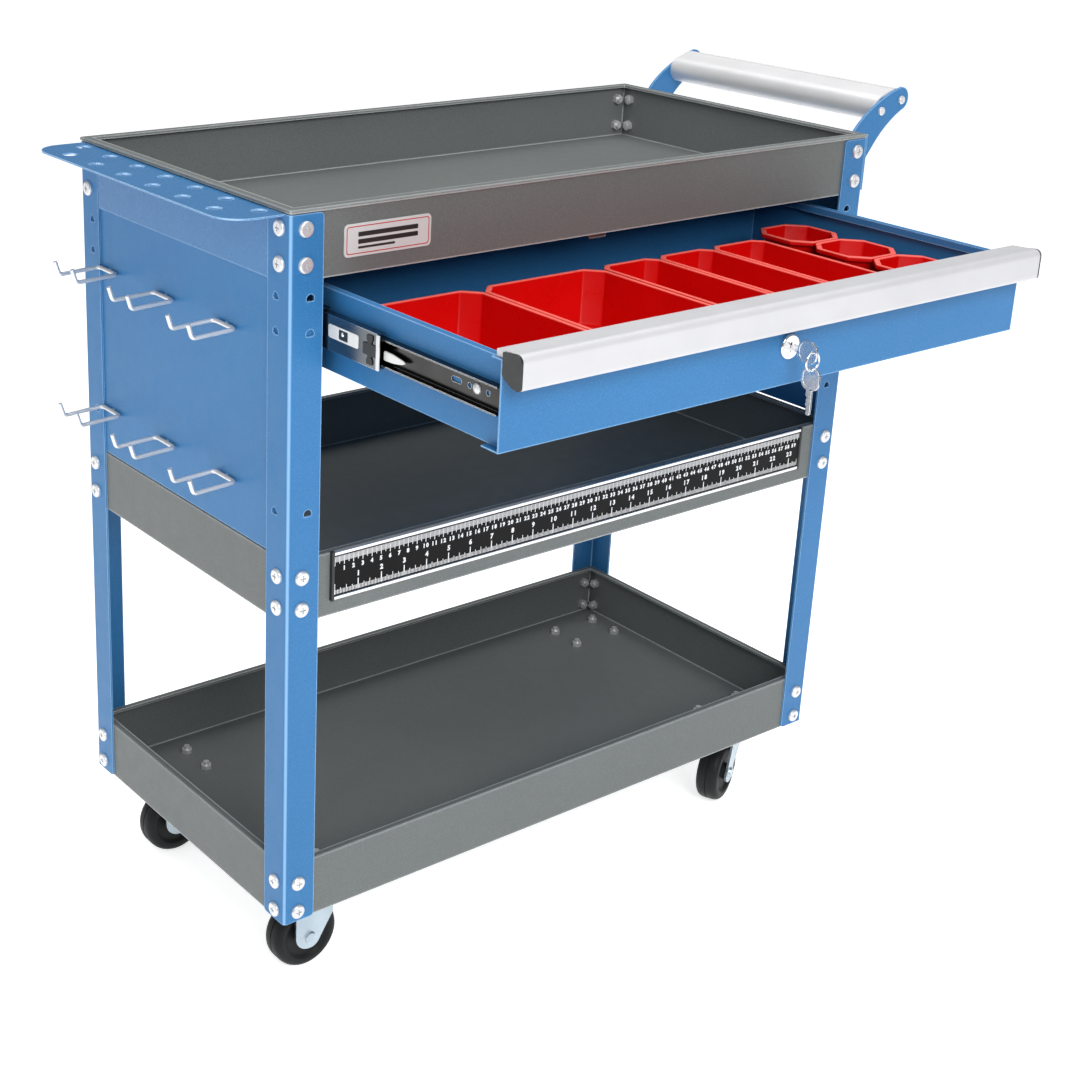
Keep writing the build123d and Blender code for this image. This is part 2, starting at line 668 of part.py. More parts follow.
with BuildPart() as lock_nut:
    nut_y = (DRAWER_FACE + 2 * DRAWER_SHEET + 0.1, DRAWER_FACE + 2 * DRAWER_SHEET + 4)
    with BuildSketch(Plane(origin=(MIDDLE_X, nut_y[0], LOCK_Z), x_dir=(1, 0, 0), z_dir=(0, 1, 0))):
        RegularPolygon(13, 6)
        Circle(9.5, mode=Mode.SUBTRACT)
    extrude(amount=nut_y[1] - nut_y[0])
finish(lock_nut, "lock_nut")

with BuildPart() as lock_plug:
    plug_y = (bezel_y, barrel_end + 5)
    rod((MIDDLE_X, sum(plug_y) / 2, LOCK_Z), PLUG_RADIUS, plug_y[1] - plug_y[0], "y")
    block(
        (MIDDLE_X - KEY_SHEET / 2 - 0.1, MIDDLE_X + KEY_SHEET / 2 + 0.1),
        (bezel_y - 1, bezel_y + 16),
        (LOCK_Z - 4, LOCK_Z + 4),
        mode=Mode.SUBTRACT,
    )
    cam_y = (barrel_end + 0.6, barrel_end + 2.6)
    block((MIDDLE_X - 7, MIDDLE_X + CAM_REACH), cam_y, (LOCK_Z - 7, LOCK_Z + 7))
    fillet(lock_plug.edges().filter_by(Axis.Y).group_by(Axis.X)[-1], 5)
finish(lock_plug, "lock_plug")


def key_shape():
    """Flat key, blade along local +x from the head, hole at the far side of the head."""
    with Locations((KEY_BLADE[0] / 2, 0)):
        Rectangle(*KEY_BLADE)
    with Locations((-KEY_HOLE_FROM_HEAD + 6, 0)):
        Circle(KEY_HEAD)
    with Locations((-KEY_HOLE_FROM_HEAD, 0)):
        Circle(KEY_HOLE, mode=Mode.SUBTRACT)


key_origin = (MIDDLE_X + KEY_SHEET / 2, bezel_y - KEY_STANDOFF + KEY_HOLE_FROM_HEAD, LOCK_Z)
ring_pivot = (MIDDLE_X, key_origin[1] - KEY_HOLE_FROM_HEAD, LOCK_Z)
with BuildPart() as key:
    with BuildSketch(Plane(origin=key_origin, x_dir=(0, 1, 0), z_dir=(-1, 0, 0))):
        key_shape()
    extrude(amount=KEY_SHEET)
finish(key, "key")

ring_drop = KEY_RING_RADIUS - 1.2
with BuildPart() as key_ring:
    with Locations((ring_pivot[0], ring_pivot[1], LOCK_Z - ring_drop)):
        Torus(KEY_RING_RADIUS, KEY_RING_WIRE, rotation=(90, 0, 0))
finish(key_ring, "key_ring")

spare_hole_z = LOCK_Z - ring_drop - KEY_RING_RADIUS - 0.6
with BuildPart() as spare_key:
    spare_origin = (MIDDLE_X + KEY_SHEET / 2, ring_pivot[1], spare_hole_z - KEY_HOLE_FROM_HEAD)
    with BuildSketch(Plane(origin=spare_origin, x_dir=(0, 0, -1), z_dir=(-1, 0, 0))):
        key_shape()
    extrude(amount=KEY_SHEET)
finish(spare_key, "spare_key")

# ---------------------------------------------------------------- bins


def octagon(width, depth, cut):
    """Rectangle with its four corners cut off at 45 degrees."""
    w = width / 2
    d = depth / 2
    Polyline(
        (-w + cut, -d),
        (w - cut, -d),
        (w, -d + cut),
        (w, d - cut),
        (w - cut, d),
        (-w + cut, d),
        (-w, d - cut),
        (-w, -d + cut),
        close=True,
    )


def bin_shell(x_range, y_range, cut, taper):
    """Open bin with tapered walls and cut corners, between a floor and the rim."""
    centre = (sum(x_range) / 2, sum(y_range) / 2)
    width = abs(x_range[1] - x_range[0])
    depth = abs(y_range[1] - y_range[0])
    for inset, low, mode in ((0, BIN_FLOOR, Mode.ADD), (BIN_WALL, BIN_FLOOR + BIN_WALL, Mode.SUBTRACT)):
        sections = []
        for z, narrow in ((low, taper), (BIN_RIM, 0)):
            shrink = 2 * (inset + narrow)
            with BuildSketch(Plane(origin=(*centre, z), z_dir=(0, 0, 1))) as section:
                with BuildLine():
                    octagon(width - shrink, depth - shrink, cut)
                make_face()
            sections.append(section.sketch.face())
        loft(sections, mode=mode)


bin_y = (BIN_BACK, BIN_BACK - BIN_LENGTH)
bin_groups = {
    "large_bin_left": [((LEFT + 50, LEFT + 192), bin_y, 14, 6)],
    "large_bin_right": [((LEFT + 194, LEFT + 336), bin_y, 14, 6)],
    "narrow_bins": [((LEFT + 339 + i * 72, LEFT + 409 + i * 72), bin_y, 9, 4) for i in range(3)],
    "small_bins": [
        ((LEFT + 574, LEFT + 642), (BIN_BACK + 30 - i * 72, BIN_BACK - 40 - i * 72), 16, 5) for i in range(3)
    ],
}
for name, shells in bin_groups.items():
    with BuildPart() as bins:
        for x_range, y_range, cut, taper in shells:
            bin_shell(x_range, y_range, cut, taper)
    finish(bins, name)

# ---------------------------------------------------------------- casters


def fork_plane(x, y, angle, out):
    """Vertical plane through a caster, local x along its rolling direction, moved out along the axle."""
    turn = math.radians(angle)
    axle = (math.sin(turn), -math.cos(turn), 0)
    return Plane(
        origin=(x + axle[0] * out, y + axle[1] * out, 0),
        x_dir=(math.cos(turn), math.sin(turn), 0),
        z_dir=axle,
    )


def make_plate(x, y, pin_hole):
    """Mounting plate with its bolt holes, against the bottom tray."""
    block(
        (x - CASTER_PLATE[0] / 2, x + CASTER_PLATE[0] / 2),
        (y - CASTER_PLATE[1] / 2, y + CASTER_PLATE[1] / 2),
        (CASTER_TOP - CASTER_SHEET, CASTER_TOP),
    )
    with Locations((x, y, CASTER_TOP)):
        with GridLocations(*CASTER_BOLT_SPACING, 2, 2):
            Cylinder(BOLT_RADIUS + BOLT_CLEARANCE, 8, mode=Mode.SUBTRACT)
    if pin_hole:
        rod((x, y, CASTER_TOP), PIN_RADIUS, 8, "z", mode=Mode.SUBTRACT)


def fork_legs(x, y, angle, wheel_offset, outline, top_z):
    """Two side plates of a fork, with the axle holes."""
    for out in (FORK_GAP + FORK_SHEET, -FORK_GAP):
        with BuildSketch(fork_plane(x, y, angle, out)) as side_plate:
            with BuildLine():
                outline(wheel_offset, top_z)
            make_face()
            with Locations((wheel_offset, WHEEL_RADIUS)):
                Circle(AXLE_RADIUS, mode=Mode.SUBTRACT)
        extrude(side_plate.sketch, amount=-FORK_SHEET)


def rigid_outline(wheel_offset, top_z):
    """Fork plate upright on one side and sloping on the other, round at the axle."""
    low = WHEEL_RADIUS - 12
    Line((wheel_offset - 16, top_z), (wheel_offset - 16, WHEEL_RADIUS + 3))
    ThreePointArc((wheel_offset - 16, WHEEL_RADIUS + 3), (wheel_offset - 8, low + 2), (wheel_offset, low))
    ThreePointArc((wheel_offset, low), (wheel_offset + 7, low + 2), (wheel_offset + 11, low + 7))
    knee = (wheel_offset + 27, 56)
    Polyline((wheel_offset + 11, low + 7), knee, (wheel_offset + 22, top_z), (wheel_offset - 16, top_z))


def swivel_outline(wheel_offset, top_z):
    """Fork plate that sweeps back from under the swivel head to the axle."""
    low = WHEEL_RADIUS - 11
    Line((-20, top_z), (wheel_offset - 9, WHEEL_RADIUS + 5))
    ThreePointArc(
        (wheel_offset - 9, WHEEL_RADIUS + 5),
        (wheel_offset - 5, low + 1.5),
        (wheel_offset + 3, low),
    )
    ThreePointArc((wheel_offset + 3, low), (wheel_offset + 9, low + 3), (wheel_offset + 12, low + 9))
    Polyline((wheel_offset + 12, low + 9), (20, top_z), (-20, top_z))


def make_wheel(name, x, y, angle):
    """One-piece wheel with a rounded tread, recessed sides and a plain bore."""
    turn = math.radians(angle)
    axle = (math.sin(turn), -math.cos(turn), 0)
    half = WHEEL_WIDTH / 2
    with BuildPart() as wheel:
        section = Plane(
            origin=(x, y, WHEEL_RADIUS), x_dir=axle, z_dir=(-math.cos(turn), -math.sin(turn), 0)
        )
        with BuildSketch(section):
            with BuildLine():
                for side in (-1, 1):
                    Polyline(
                        (side * HUB_HALF, AXLE_RADIUS + HINGE_GAP),
                        (side * HUB_HALF, 9),
                        (side * (half - 4), 10.5),
                        (side * (half - 4), 23),
                        (side * half, 25.5),
                        (side * half, 29.5),
                    )
                    ThreePointArc(
                        (side * half, 29.5),
                        (side * (half - 1.6), 33.4),
                        (side * (half - 5.5), WHEEL_RADIUS),
                    )
                Line((half - 5.5, WHEEL_RADIUS), (5.5 - half, WHEEL_RADIUS))
                Line((HUB_HALF, AXLE_RADIUS + HINGE_GAP), (-HUB_HALF, AXLE_RADIUS + HINGE_GAP))
            make_face()
        revolve(axis=Axis((x, y, WHEEL_RADIUS), axle))
    finish(wheel, name)


def make_axle(name, x, y, angle):
    """Riveted axle with a head outside each fork plate."""
    outside = FORK_GAP + FORK_SHEET
    with BuildPart() as axle:
        with BuildSketch(fork_plane(x, y, angle, outside)):
            with Locations((0, WHEEL_RADIUS)):
                Circle(AXLE_RADIUS)
        extrude(amount=-2 * outside)
        for out, amount in ((outside, 2.4), (-outside, -2.4)):
            with BuildSketch(fork_plane(x, y, angle, out)):
                with Locations((0, WHEEL_RADIUS)):
                    Circle(6.2)
            extrude(amount=amount, taper=25)
    finish(axle, name)


yoke_top = CASTER_TOP - CASTER_SHEET - 3 - 0.5
yoke_low = yoke_top - 3
with BuildPart() as kingpins:
    pin_low = yoke_low - 0.4
    for corner, x, y in caster_centres():
        if corner.endswith("right"):
            rod((x, y, (CASTER_TOP + pin_low) / 2), PIN_RADIUS, CASTER_TOP - pin_low, "z")
            rod((x, y, pin_low - 1.25), 8, 2.5, "z")
    fillet(kingpins.edges().group_by(Axis.Z)[0], 1.2)
finish(kingpins, "kingpins")

for corner, x, y in caster_centres():
    row, end = corner.split("_")
    if end == "left":
        with BuildPart() as rigid_fork:
            make_plate(x, y, pin_hole=False)
            under = CASTER_TOP - CASTER_SHEET
            fork_legs(x, y, 0, 0, rigid_outline, under)
        finish(rigid_fork, f"rigid_fork_{row}")
        make_wheel(f"wheel_{corner}", x, y, 0)
        make_axle(f"axle_{corner}", x, y, 0)
    else:
        angle = SWIVEL_ANGLES[row]
        turn = math.radians(angle)
        wheel_x = x + TRAIL * math.cos(turn)
        wheel_y = y + TRAIL * math.sin(turn)
        with BuildPart() as swivel_plate:
            make_plate(x, y, pin_hole=True)
            with Locations((x, y, CASTER_TOP - CASTER_SHEET - 1.5)):
                Cylinder(21, 3)
                Cylinder(PIN_RADIUS, 6, mode=Mode.SUBTRACT)
        finish(swivel_plate, f"swivel_plate_{row}")
        with BuildPart() as swivel_fork:
            rod((x, y, (yoke_top + yoke_low) / 2), 22, 3, "z")
            fork_legs(x, y, angle, TRAIL, swivel_outline, yoke_top)
            rod((x, y, yoke_top), PIN_RADIUS + HINGE_GAP, 10, "z", mode=Mode.SUBTRACT)
        finish(swivel_fork, f"swivel_fork_{row}")
        make_wheel(f"wheel_{corner}", wheel_x, wheel_y, angle)
        make_axle(f"axle_{corner}", wheel_x, wheel_y, angle)

with BuildPart() as caster_bolt:
    Cylinder(5.5, 3.2, align=(Align.CENTER, Align.CENTER, Align.MAX))
    fillet(caster_bolt.edges().sort_by(Axis.Z)[0], 1.5)
    Cylinder(BOLT_RADIUS, 12, align=(Align.CENTER, Align.CENTER, Align.MIN))

bolt_low = CASTER_TOP - CASTER_SHEET
nut_low = CASTER_TOP + TRAY_SHEET
with BuildPart() as caster_bolts:
    with Locations(*[(x, y, bolt_low) for x, y in caster_bolt_points()]):
        add(caster_bolt.part)
finish(caster_bolts, "caster_bolts")

with BuildPart() as caster_nuts:
    with Locations(*[(x, y, nut_low) for x, y in caster_bolt_points()]):
        add(hex_nut.part)
finish(caster_nuts, "caster_nuts")
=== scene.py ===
"""Looks of the rolling tool chest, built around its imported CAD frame.

Everything is in metres in the frame's own axes: +X runs from the rack end to the handle end, the drawer
opens towards -Y and the floor is at Z = 0. CAD pieces whose shape is right keep their mesh and get a better
material. Bins, wheels, keys and printed or moulded details are built here.
"""

import json
import math

import bmesh
import bpy
from mathutils import Matrix, Vector


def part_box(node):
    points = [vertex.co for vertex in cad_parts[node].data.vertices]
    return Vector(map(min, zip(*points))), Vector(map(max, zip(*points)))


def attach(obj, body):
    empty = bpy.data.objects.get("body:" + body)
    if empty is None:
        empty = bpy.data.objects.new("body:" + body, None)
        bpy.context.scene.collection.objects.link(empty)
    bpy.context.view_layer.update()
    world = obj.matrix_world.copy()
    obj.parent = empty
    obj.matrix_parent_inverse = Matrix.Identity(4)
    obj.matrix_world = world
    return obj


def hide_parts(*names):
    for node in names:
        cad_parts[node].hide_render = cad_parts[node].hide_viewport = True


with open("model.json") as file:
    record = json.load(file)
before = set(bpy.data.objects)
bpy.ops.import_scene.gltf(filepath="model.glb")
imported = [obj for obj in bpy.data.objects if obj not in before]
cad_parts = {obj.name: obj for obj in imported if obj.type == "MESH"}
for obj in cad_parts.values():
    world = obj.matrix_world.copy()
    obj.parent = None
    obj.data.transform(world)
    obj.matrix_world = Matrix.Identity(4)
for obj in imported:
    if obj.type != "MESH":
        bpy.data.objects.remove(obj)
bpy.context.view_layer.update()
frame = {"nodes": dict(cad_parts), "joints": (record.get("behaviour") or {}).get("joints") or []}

MM = 0.001
INCH = 25.4 * MM
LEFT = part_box("leg_front_left")[0].x
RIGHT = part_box("leg_front_right")[1].x
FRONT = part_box("leg_front_left")[0].y
MIDDLE_X = (LEFT + RIGHT) / 2
BIN_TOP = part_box("large_bin_left")[1].z


# ---------------------------------------------------------------- materials

# Cosines between the true and the rounded-off normal, from a sharp edge to a flat face, bounding the painted
# edge highlight.
EDGE_COSINES = (0.88, 0.996)
# Products of a normal's X and Y where the painted highlight on a fold starts and is full.
FOLD_HIGHLIGHT_PRODUCTS = (0.3, 0.49)


class Shader:
    """A node material with short calls for the nodes that the finishes share."""

    def __init__(self, name, **values):
        self.material = bpy.data.materials.new(name)
        self.material.use_nodes = True
        self.nodes = self.material.node_tree.nodes
        self.bsdf = self.nodes["Principled BSDF"]
        self.coordinates = self.node("ShaderNodeTexCoord").outputs["Object"]
        for socket, value in values.items():
            self.bsdf.inputs[socket.replace("_", " ")].default_value = value

    def node(self, kind, **properties):
        made = self.nodes.new(kind)
        for key, value in properties.items():
            setattr(made, key, value)
        return made

    def link(self, output, socket):
        self.material.node_tree.links.new(output, socket)

    def stretched(self, scale):
        """Object coordinates multiplied by a scale in each direction."""
        mapping = self.node("ShaderNodeMapping")
        mapping.inputs["Scale"].default_value = scale
        self.link(self.coordinates, mapping.inputs["Vector"])
        return mapping.outputs["Vector"]

    def noise(self, scale, detail=2, stretch=None, roughness=0.5):
        made = self.node("ShaderNodeTexNoise")
        made.inputs["Scale"].default_value = scale
        made.inputs["Detail"].default_value = detail
        made.inputs["Roughness"].default_value = roughness
        self.link(self.stretched(stretch) if stretch else self.coordinates, made.inputs["Vector"])
        return made.outputs["Fac"]

    def spread(self, factor, low=0, high=1, source=(0.3, 0.7)):
        """Maps a factor from a source range to a range of numbers."""
        made = self.node("ShaderNodeMapRange")
        made.inputs["From Min"].default_value = source[0]
        made.inputs["From Max"].default_value = source[1]
        made.inputs["To Min"].default_value = low
        made.inputs["To Max"].default_value = high
        self.link(factor, made.inputs["Value"])
        return made.outputs["Result"]

    def mix(self, factor, a, b):
        """Blends two colours, each a tuple or an output, by a factor."""
        made = self.node("ShaderNodeMix", data_type="RGBA")
        self.link(factor, made.inputs["Factor"])
        for value, socket in ((a, made.inputs["A"]), (b, made.inputs["B"])):
            if isinstance(value, tuple):
                socket.default_value = (*value, 1)
            else:
                self.link(value, socket)
        return made.outputs["Result"]

    def edges(self, radius):
        """Factor that is high along the piece's sharp edges, where a highlight is painted."""
        bevel = self.node("ShaderNodeBevel", samples=4)
        bevel.inputs["Radius"].default_value = radius
        geometry = self.node("ShaderNodeNewGeometry")
        dot = self.node("ShaderNodeVectorMath", operation="DOT_PRODUCT")
        self.link(bevel.outputs["Normal"], dot.inputs[0])
        self.link(geometry.outputs["Normal"], dot.inputs[1])
        return self.spread(dot.outputs["Value"], low=1, high=0, source=EDGE_COSINES)

    def bends(self):
        """Up to 0.5 where a surface turns between the X and Y directions, as round a leg's fold; it places a
        painted highlight there.
        """
        split = self.node("ShaderNodeSeparateXYZ")
        self.link(self.node("ShaderNodeNewGeometry").outputs["Normal"], split.inputs[0])
        product = self.node("ShaderNodeMath", operation="MULTIPLY")
        self.link(split.outputs["X"], product.inputs[0])
        self.link(split.outputs["Y"], product.inputs[1])
        size = self.node("ShaderNodeMath", operation="ABSOLUTE")
        self.link(product.outputs[0], size.inputs[0])
        return size.outputs[0]

    def bump(self, height, distance, strength):
        made = self.node("ShaderNodeBump")
        made.inputs["Distance"].default_value = distance
        made.inputs["Strength"].default_value = strength
        self.link(height, made.inputs["Height"])
        self.link(made.outputs["Normal"], self.bsdf.inputs["Normal"])

    def colour(self, output):
        self.link(output, self.bsdf.inputs["Base Color"])

    def rough(self, output):
        self.link(output, self.bsdf.inputs["Roughness"])


def powder_coat(name, base, deep, edge, rough=(0.34, 0.44), specular=0.28, highlight_width=1.6 * MM):
    """Baked paint: fine orange peel, slow colour drift, fine specks, a painted highlight along sharp edges
    and a painted highlight down vertical folds.
    """
    # The edge colour is used for the fine specks and for the painted highlights along edges and folds.
    coat = Shader(name, Specular_IOR_Level=specular)
    drift = coat.noise(scale=4.5, detail=3)
    body = coat.mix(coat.spread(drift), base, deep)
    speck = coat.noise(scale=1500, detail=1)
    speckled = coat.mix(coat.spread(speck, high=0.12, source=(0.45, 0.75)), body, edge)
    # Painted highlight: the edge colour along sharp edges stands in for light catching them.
    highlighted_edges = coat.mix(coat.edges(highlight_width), speckled, edge)
    # Painted highlight: the edge colour down vertical folds, such as a leg's corner, stands in for light on
    # the fold.
    coat.colour(coat.mix(coat.spread(coat.bends(), high=0.75, source=FOLD_HIGHLIGHT_PRODUCTS), highlighted_edges, edge))
    coat.rough(coat.spread(coat.noise(scale=60, detail=3), *rough))
    coat.bump(coat.noise(scale=620), distance=0.12 * MM, strength=0.35)
    return coat.material


def brushed(name, base, deep, rough=(0.2, 0.34), stretch=(1, 1, 1), depth=0.05 * MM, edge_highlight=None, metal=1.0):
    """Metal with a directional grain, faint stains and, if asked, a painted highlight along its edges."""
    finish = Shader(name, Metallic=metal)
    grain = finish.noise(scale=260, detail=4, stretch=stretch, roughness=0.62)
    stain = finish.noise(scale=22, detail=3)
    toned = finish.mix(finish.spread(stain), base, deep)
    # Painted highlight: a pale colour along sharp edges stands in for light catching them.
    if edge_highlight:
        toned = finish.mix(finish.edges(0.7 * MM), toned, edge_highlight)
    finish.colour(toned)
    finish.rough(finish.spread(grain, *rough))
    finish.bump(grain, depth, strength=0.4)
    return finish.material


def moulded(name, base, deep, rough=(0.3, 0.42), peel=420, depth=0.08 * MM, **values):
    """Moulded plastic, rubber or film with a fine skin texture and slow colour drift."""
    plastic = Shader(name, **values)
    plastic.colour(plastic.mix(plastic.spread(plastic.noise(scale=14, detail=3)), base, deep))
    plastic.rough(plastic.spread(plastic.noise(scale=90, detail=3), *rough))
    plastic.bump(plastic.noise(scale=peel, detail=3), depth, strength=0.4)
    return plastic.material


def red_plastic():
    """Glossy red polypropylene with a painted highlight on the flat of a bin's rim."""
    plastic = Shader("red_polypropylene", Specular_IOR_Level=0.18)
    drift = plastic.spread(plastic.noise(scale=16))
    body = plastic.mix(drift, (0.6, 0.0012, 0.001), (0.55, 0.001, 0.0008))
    split = plastic.node("ShaderNodeSeparateXYZ")
    plastic.link(plastic.coordinates, split.inputs[0])
    # Painted highlight: pale red on the top of each bin's rim stands in for light catching it.
    rim_highlight_heights = (BIN_TOP - 1.2 * MM, BIN_TOP - 0.2 * MM)
    rim_highlight = plastic.spread(split.outputs["Z"], source=rim_highlight_heights)
    plastic.colour(plastic.mix(rim_highlight, body, (0.95, 0.16, 0.13)))
    plastic.rough(plastic.spread(plastic.noise(scale=45, detail=3), low=0.26, high=0.34))
    plastic.bump(plastic.noise(scale=420), distance=0.05 * MM, strength=0.3)
    return plastic.material


# Scales of a metal's noise that draw its grain out along an axis.
ALONG_X = (0.02, 1, 1)
ALONG_Y = (1, 0.02, 1)
SLIDE_GRAIN = (1, 0.06, 1)
# Colour of the painted highlight along a slide's edges.
SLIDE_EDGE_HIGHLIGHT = (0.9, 0.92, 0.93)

FINISHES = {
    # Each powder coat's third colour is for its fine specks and its painted highlights on edges and folds.
    "blue": powder_coat(
        "blue_powder_coat", (0.028, 0.172, 0.405), (0.025, 0.158, 0.378), (0.3, 0.53, 0.82),
    ),
    "blue_rack": powder_coat(
        "blue_gloss_coat", (0.03, 0.176, 0.41), (0.027, 0.162, 0.383), (0.36, 0.58, 0.84),
        rough=(0.24, 0.32), specular=0.5,
    ),
    "grey": powder_coat(
        "grey_powder_coat", (0.14, 0.153, 0.151), (0.124, 0.136, 0.135), (0.6, 0.63, 0.63),
        rough=(0.42, 0.52), highlight_width=2.4 * MM,
    ),
    # The zinc, bolt and key finishes end with the colour of a painted highlight along their edges.
    "zinc": brushed(
        "zinc_plate", (0.5, 0.58, 0.64), (0.4, 0.48, 0.54), rough=(0.3, 0.46), edge_highlight=(0.8, 0.85, 0.9),
    ),
    "bolt": brushed(
        "bright_zinc", (0.8, 0.8, 0.81), (0.64, 0.65, 0.66), rough=(0.3, 0.42),
        edge_highlight=(0.96, 0.96, 0.96), metal=0.6,
    ),
    "chrome": brushed(
        "chrome", (0.86, 0.86, 0.87), (0.78, 0.78, 0.8), rough=(0.05, 0.14), depth=0.02 * MM,
    ),
    "slide": brushed(
        "slide_steel", (0.075, 0.075, 0.075), (0.05, 0.048, 0.047), rough=(0.16, 0.26),
        stretch=SLIDE_GRAIN, edge_highlight=SLIDE_EDGE_HIGHLIGHT,
    ),
    "slide_mid": brushed(
        "slide_steel_outer", (0.2, 0.215, 0.23), (0.15, 0.16, 0.17), rough=(0.16, 0.26),
        stretch=SLIDE_GRAIN, edge_highlight=SLIDE_EDGE_HIGHLIGHT,
    ),
    "key": brushed(
        "key_nickel", (0.72, 0.72, 0.73), (0.6, 0.6, 0.62), rough=(0.2, 0.3),
        edge_highlight=(0.95, 0.95, 0.96), metal=0.85,
    ),
    "pull": brushed(
        "pull_aluminium", (0.62, 0.62, 0.64), (0.58, 0.58, 0.6), rough=(0.46, 0.56),
        stretch=ALONG_X, metal=0.25,
    ),
    "grip": brushed(
        "grip_aluminium", (0.8, 0.8, 0.81), (0.76, 0.76, 0.77), rough=(0.42, 0.52),
        stretch=ALONG_Y, metal=0.4,
    ),
    "rail": brushed(
        "rail_aluminium", (0.82, 0.83, 0.84), (0.7, 0.71, 0.72), rough=(0.2, 0.32), stretch=ALONG_X,
    ),
    "ruler": moulded(
        "ruler_film", (0.004, 0.004, 0.0045), (0.006, 0.006, 0.0065), rough=(0.3, 0.38),
        peel=900, depth=0.02 * MM, Specular_IOR_Level=0.1,
    ),
    "ink": moulded(
        "white_ink", (0.9, 0.9, 0.9), (0.84, 0.84, 0.84), rough=(0.4, 0.5), peel=900, depth=0.02 * MM,
    ),
    "black": moulded(
        "black_plastic", (0.012, 0.013, 0.014), (0.02, 0.021, 0.022), rough=(0.34, 0.46),
    ),
    "tyre": moulded(
        "wheel_rubber", (0.009, 0.01, 0.011), (0.016, 0.017, 0.018), rough=(0.4, 0.54),
        peel=300, Specular_IOR_Level=0.16,
    ),
    "white": moulded("white_plastic", (0.78, 0.79, 0.78), (0.7, 0.71, 0.7)),
    "label": moulded(
        "label_film", (0.6, 0.61, 0.61), (0.56, 0.57, 0.57), rough=(0.5, 0.6),
        depth=0.03 * MM, Specular_IOR_Level=0.2,
    ),
    "label_red": moulded(
        "label_red_ink", (0.5, 0.012, 0.012), (0.45, 0.01, 0.01), rough=(0.3, 0.4), depth=0.03 * MM,
    ),
    "red": red_plastic(),
}

CAD_FINISHES = {
    "blue_rack": ("screwdriver_rack",),
    "blue": ("leg_", "hook_panel", "right_side_panel", "handle_arm", "drawer_front",
             "drawer_box", "slide_bracket"),
    "grey": ("top_tray", "middle_tray", "bottom_tray"),
    "zinc": ("rigid_fork", "swivel_", "kingpins", "axle_"),
    "bolt": ("leg_bolts", "leg_nuts", "handle_screws", "caster_bolts", "caster_nuts",
             "tool_hooks", "lock_nut"),
    "chrome": ("lock_housing", "lock_plug", "key_ring"),
    "slide": ("slide_cabinet", "slide_drawer"),
    "slide_mid": ("slide_intermediate",),
    "pull": ("drawer_pull",),
    "grip": ("handle_grip",),
    "rail": ("ruler_rail",),
    "ruler": ("ruler_scale",),
    "black": ("pull_caps", "ruler_caps"),
    "label": ("label_plate",),
    "tyre": ("wheel_",),
    "red": ("large_bin", "narrow_bins", "small_bins"),
}


def paint_frame():
    """Gives every carried-over CAD node its finish. The longest name start that fits wins."""
    starts = [(start, key) for key, group in CAD_FINISHES.items() for start in group]
    for name, node in frame["nodes"].items():
        fitting = [(len(start), key) for start, key in starts if name.startswith(start)]
        key = max(fitting)[1] if fitting else "chrome"
        node.data.materials.clear()
        node.data.materials.append(FINISHES[key])


# ---------------------------------------------------------------- mesh helpers

SHARP_ANGLE = math.radians(35)


def add_piece(name, mesh, finish, body, replaces=()):
    """Puts a mesh into the scene as a piece that rides on a CAD body."""
    for polygon in mesh.polygons:
        polygon.use_smooth = True
    mesh.set_sharp_from_angle(angle=SHARP_ANGLE)
    piece = bpy.data.objects.new(name, mesh)
    bpy.context.scene.collection.objects.link(piece)
    mesh.materials.append(FINISHES[finish])
    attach(piece, body)
    if replaces:
        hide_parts(*replaces)


def mesh_of(bm, name):
    """Turns a bmesh into a mesh with outward normals."""
    bmesh.ops.recalc_face_normals(bm, faces=bm.faces)
    mesh = bpy.data.meshes.new(name)
    bm.to_mesh(mesh)
    bm.free()
    return mesh


def skin(bm, rings, ends):
    """Faces between successive rings of points. The ends are joined to each other or capped."""
    loops = [[bm.verts.new(point) for point in ring] for ring in rings]
    pairs = list(zip(loops, loops[1:]))
    if ends == "joined":
        pairs.append((loops[-1], loops[0]))
    count = len(loops[0])
    for a, b in pairs:
        for i in range(count):
            j = (i + 1) % count
            bm.faces.new((a[i], a[j], b[j], b[i]))
    if ends == "capped":
        bm.faces.new(loops[0])
        bm.faces.new(loops[-1][::-1])


def turned(bm, profile, centre, axis, steps=96):
    """Closed profile of (radius, along) points turned about an axis through a centre."""
    axis = Vector(axis).normalized()
    side = axis.orthogonal().normalized()
    other = axis.cross(side)
    rings = []
    for i in range(steps):
        angle = 2 * math.pi * i / steps
        out = side * math.cos(angle) + other * math.sin(angle)
        rings.append([Vector(centre) + out * radius + axis * along for radius, along in profile])
    skin(bm, rings, ends="joined")


def plate_mesh(name, outlines, thickness, place, bevel=0.0):
    """Flat plate from closed outlines, the inner ones being holes, centred on its own plane."""
    curve = bpy.data.curves.new(name, "CURVE")
    curve.dimensions = "2D"
    curve.fill_mode = "BOTH"
    curve.extrude = max(thickness / 2 - bevel, 0)
    curve.bevel_depth = bevel
    curve.bevel_resolution = 2
    curve.offset = -bevel
    for outline in outlines:
        spline = curve.splines.new("POLY")
        spline.points.add(len(outline) - 1)
        for point, (x, y) in zip(spline.points, outline):
            point.co = (x, y, 0, 1)
        spline.use_cyclic_u = True
    mesh = mesh_of_curve(curve)
    mesh.transform(place)
    return mesh


def mesh_of_curve(curve):
    """Turns a curve or text into a mesh and clears it away."""
    holder = bpy.data.objects.new(curve.name, curve)
    mesh = bpy.data.meshes.new_from_object(holder)
    bpy.data.objects.remove(holder)
    bpy.data.curves.remove(curve)
    return mesh


